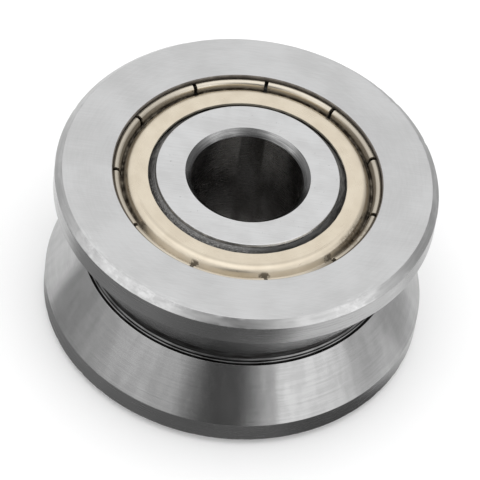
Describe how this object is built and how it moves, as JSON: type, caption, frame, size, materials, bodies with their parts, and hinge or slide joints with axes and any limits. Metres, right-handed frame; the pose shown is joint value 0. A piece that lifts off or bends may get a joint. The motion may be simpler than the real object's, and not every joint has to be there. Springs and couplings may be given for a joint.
{
  "type": "v groove guide wheel",
  "caption": "Steel guide wheel that runs on a ball bearing hub: a V groove round its rim for a rail, a bore for an axle and a crimped metal shield on each face.",
  "frame": {"origin": "middle of the wheel, on its axis, halfway between its two faces", "axes": "+Z along the axis, out of the upper face; +X and +Y lie in the middle plane of the V groove"},
  "size_m": [0.041, 0.041, 0.0204],
  "materials": {
    "wheel_steel": "ground and turned bearing steel",
    "hub_steel": "ground bearing steel",
    "shield_plating": "pressed sheet steel with cream yellow plating",
    "ball_steel": "polished bearing steel",
    "cage_steel": "pressed sheet steel, oiled",
    "rivet_steel": "plain steel"
  },
  "bodies": {
    "hub": {"inner_ring": "hub_steel"},
    "wheel": {"outer_ring": "wheel_steel", "upper_shield": "shield_plating", "lower_shield": "shield_plating"},
    "upper_cage": {"upper_cage_outer": "cage_steel", "upper_cage_inner": "cage_steel", "upper_cage_rivets": "rivet_steel"},
    "upper_ball_1": {"upper_ball_1": "ball_steel"},
    "upper_ball_2": {"upper_ball_2": "ball_steel"},
    "upper_ball_3": {"upper_ball_3": "ball_steel"},
    "upper_ball_4": {"upper_ball_4": "ball_steel"},
    "upper_ball_5": {"upper_ball_5": "ball_steel"},
    "upper_ball_6": {"upper_ball_6": "ball_steel"},
    "upper_ball_7": {"upper_ball_7": "ball_steel"},
    "lower_cage": {"lower_cage_outer": "cage_steel", "lower_cage_inner": "cage_steel", "lower_cage_rivets": "rivet_steel"},
    "lower_ball_1": {"lower_ball_1": "ball_steel"},
    "lower_ball_2": {"lower_ball_2": "ball_steel"},
    "lower_ball_3": {"lower_ball_3": "ball_steel"},
    "lower_ball_4": {"lower_ball_4": "ball_steel"},
    "lower_ball_5": {"lower_ball_5": "ball_steel"},
    "lower_ball_6": {"lower_ball_6": "ball_steel"},
    "lower_ball_7": {"lower_ball_7": "ball_steel"}
  },
  "joints": [
    {"name": "wheel_spin", "type": "hinge", "parent": "hub", "child": "wheel", "pos_m": [0, 0, 0], "axis": [0, 0, 1], "continuous": true},
    {"name": "upper_cage_spin", "type": "hinge", "parent": "hub", "child": "upper_cage", "pos_m": [0, 0, 0], "axis": [0, 0, 1], "continuous": true},
    {"name": "upper_ball_1_spin", "type": "hinge", "parent": "upper_cage", "child": "upper_ball_1", "pos_m": [0.01072, 0.00516, 0.0041], "axis": [0, 0, 1], "continuous": true},
    {"name": "upper_ball_2_spin", "type": "hinge", "parent": "upper_cage", "child": "upper_ball_2", "pos_m": [0.00265, 0.0116, 0.0041], "axis": [0, 0, 1], "continuous": true},
    {"name": "upper_ball_3_spin", "type": "hinge", "parent": "upper_cage", "child": "upper_ball_3", "pos_m": [-0.00742, 0.0093, 0.0041], "axis": [0, 0, 1], "continuous": true},
    {"name": "upper_ball_4_spin", "type": "hinge", "parent": "upper_cage", "child": "upper_ball_4", "pos_m": [-0.0119, 0, 0.0041], "axis": [0, 0, 1], "continuous": true},
    {"name": "upper_ball_5_spin", "type": "hinge", "parent": "upper_cage", "child": "upper_ball_5", "pos_m": [-0.00742, -0.0093, 0.0041], "axis": [0, 0, 1], "continuous": true},
    {"name": "upper_ball_6_spin", "type": "hinge", "parent": "upper_cage", "child": "upper_ball_6", "pos_m": [0.00265, -0.0116, 0.0041], "axis": [0, 0, 1], "continuous": true},
    {"name": "upper_ball_7_spin", "type": "hinge", "parent": "upper_cage", "child": "upper_ball_7", "pos_m": [0.01072, -0.00516, 0.0041], "axis": [0, 0, 1], "continuous": true},
    {"name": "lower_cage_spin", "type": "hinge", "parent": "hub", "child": "lower_cage", "pos_m": [0, 0, 0], "axis": [0, 0, 1], "continuous": true},
    {"name": "lower_ball_1_spin", "type": "hinge", "parent": "lower_cage", "child": "lower_ball_1", "pos_m": [0.00742, 0.0093, -0.0041], "axis": [0, 0, 1], "continuous": true},
    {"name": "lower_ball_2_spin", "type": "hinge", "parent": "lower_cage", "child": "lower_ball_2", "pos_m": [-0.00265, 0.0116, -0.0041], "axis": [0, 0, 1], "continuous": true},
    {"name": "lower_ball_3_spin", "type": "hinge", "parent": "lower_cage", "child": "lower_ball_3", "pos_m": [-0.01072, 0.00516, -0.0041], "axis": [0, 0, 1], "continuous": true},
    {"name": "lower_ball_4_spin", "type": "hinge", "parent": "lower_cage", "child": "lower_ball_4", "pos_m": [-0.01072, -0.00516, -0.0041], "axis": [0, 0, 1], "continuous": true},
    {"name": "lower_ball_5_spin", "type": "hinge", "parent": "lower_cage", "child": "lower_ball_5", "pos_m": [-0.00265, -0.0116, -0.0041], "axis": [0, 0, 1], "continuous": true},
    {"name": "lower_ball_6_spin", "type": "hinge", "parent": "lower_cage", "child": "lower_ball_6", "pos_m": [0.00742, -0.0093, -0.0041], "axis": [0, 0, 1], "continuous": true},
    {"name": "lower_ball_7_spin", "type": "hinge", "parent": "lower_cage", "child": "lower_ball_7", "pos_m": [0.0119, 0, -0.0041], "axis": [0, 0, 1], "continuous": true}
  ],
  "couplings": [
    {"joint": "upper_cage_spin", "follows": "wheel_spin", "ratio": 0.6334},
    {"joint": "upper_ball_1_spin", "follows": "wheel_spin", "ratio": 1.7406},
    {"joint": "upper_ball_2_spin", "follows": "wheel_spin", "ratio": 1.7406},
    {"joint": "upper_ball_3_spin", "follows": "wheel_spin", "ratio": 1.7406},
    {"joint": "upper_ball_4_spin", "follows": "wheel_spin", "ratio": 1.7406},
    {"joint": "upper_ball_5_spin", "follows": "wheel_spin", "ratio": 1.7406},
    {"joint": "upper_ball_6_spin", "follows": "wheel_spin", "ratio": 1.7406},
    {"joint": "upper_ball_7_spin", "follows": "wheel_spin", "ratio": 1.7406},
    {"joint": "lower_cage_spin", "follows": "wheel_spin", "ratio": 0.6334},
    {"joint": "lower_ball_1_spin", "follows": "wheel_spin", "ratio": 1.7406},
    {"joint": "lower_ball_2_spin", "follows": "wheel_spin", "ratio": 1.7406},
    {"joint": "lower_ball_3_spin", "follows": "wheel_spin", "ratio": 1.7406},
    {"joint": "lower_ball_4_spin", "follows": "wheel_spin", "ratio": 1.7406},
    {"joint": "lower_ball_5_spin", "follows": "wheel_spin", "ratio": 1.7406},
    {"joint": "lower_ball_6_spin", "follows": "wheel_spin", "ratio": 1.7406},
    {"joint": "lower_ball_7_spin", "follows": "wheel_spin", "ratio": 1.7406}
  ]
}
